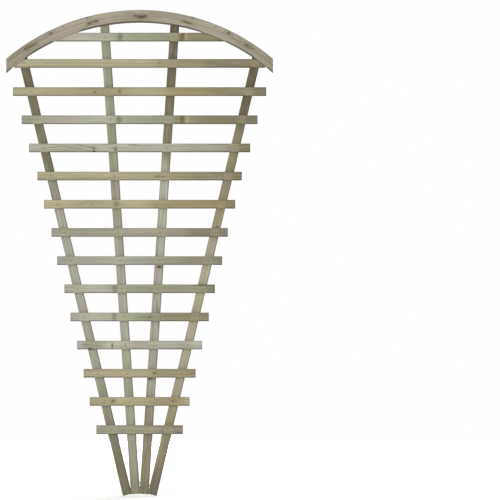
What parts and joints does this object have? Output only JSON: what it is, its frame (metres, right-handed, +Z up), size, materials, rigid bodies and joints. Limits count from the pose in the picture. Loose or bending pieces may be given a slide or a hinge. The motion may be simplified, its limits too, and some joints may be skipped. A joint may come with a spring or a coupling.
{
  "type": "fan trellis",
  "caption": "Timber fan trellis: uprights spread from a narrow foot, crossed by nailed slats, under a bowed top rail. It carries climbing plants on a wall or fence.",
  "frame": {"origin": "on the centre line, half way through the depth, at the level of the outer feet's lowest corners", "axes": "+Z up the trellis, -Y out of its front, +X to its right as seen from the front"},
  "size_m": [1.0044, 0.036, 1.83],
  "materials": {
    "rail_timber": "rough sawn softwood, pressure treated and weathered to pinkish grey, with dark knots",
    "slat_timber": "rough sawn softwood, pressure treated, pale grey-green to tan",
    "upright_timber": "rough sawn softwood, pressure treated, grey-green, darker towards the top of the outer ones",
    "zinced_steel": "zinc plated, dulled by weather"
  },
  "bodies": {
    "root": {"arch_rail": "rail_timber", "foot_screw_left": "zinced_steel", "foot_screw_right": "zinced_steel", "nail_arch_rail_left_inner": "zinced_steel", "nail_arch_rail_left_outer": "zinced_steel", "nail_arch_rail_right_inner": "zinced_steel", "nail_arch_rail_right_outer": "zinced_steel", "nail_slat_01_left_inner": "zinced_steel", "nail_slat_01_right_inner": "zinced_steel", "nail_slat_02_left_inner": "zinced_steel", "nail_slat_02_left_outer": "zinced_steel", "nail_slat_02_right_inner": "zinced_steel", "nail_slat_02_right_outer": "zinced_steel", "nail_slat_03_left_outer": "zinced_steel", "nail_slat_03_right_outer": "zinced_steel", "nail_slat_04_left_outer": "zinced_steel", "nail_slat_04_right_outer": "zinced_steel", "nail_slat_05_left_outer": "zinced_steel", "nail_slat_05_right_outer": "zinced_steel", "nail_slat_06_left_outer": "zinced_steel", "nail_slat_06_right_outer": "zinced_steel", "nail_slat_07_left_outer": "zinced_steel", "nail_slat_07_right_outer": "zinced_steel", "nail_slat_08_left_outer": "zinced_steel", "nail_slat_08_right_outer": "zinced_steel", "nail_slat_09_left_outer": "zinced_steel", "nail_slat_09_right_outer": "zinced_steel", "nail_slat_10_left_outer": "zinced_steel", "nail_slat_10_right_outer": "zinced_steel", "nail_slat_11_left_outer": "zinced_steel", "nail_slat_11_right_outer": "zinced_steel", "nail_slat_12_left_outer": "zinced_steel", "nail_slat_12_right_outer": "zinced_steel", "nail_slat_13_left_outer": "zinced_steel", "nail_slat_13_right_outer": "zinced_steel", "nail_slat_14_left_outer": "zinced_steel", "nail_slat_14_right_outer": "zinced_steel", "nail_slat_15_left_inner": "zinced_steel", "nail_slat_15_left_outer": "zinced_steel", "nail_slat_15_right_inner": "zinced_steel", "nail_slat_15_right_outer": "zinced_steel", "slat_01": "slat_timber", "slat_02": "slat_timber", "slat_03": "slat_timber", "slat_04": "slat_timber", "slat_05": "slat_timber", "slat_06": "slat_timber", "slat_07": "slat_timber", "slat_08": "slat_timber", "slat_09": "slat_timber", "slat_10": "slat_timber", "slat_11": "slat_timber", "slat_12": "slat_timber", "slat_13": "slat_timber", "slat_14": "slat_timber", "slat_15": "slat_timber", "upright_left_inner": "upright_timber", "upright_left_outer": "upright_timber", "upright_right_inner": "upright_timber", "upright_right_outer": "upright_timber"}
  },
  "joints": []
}
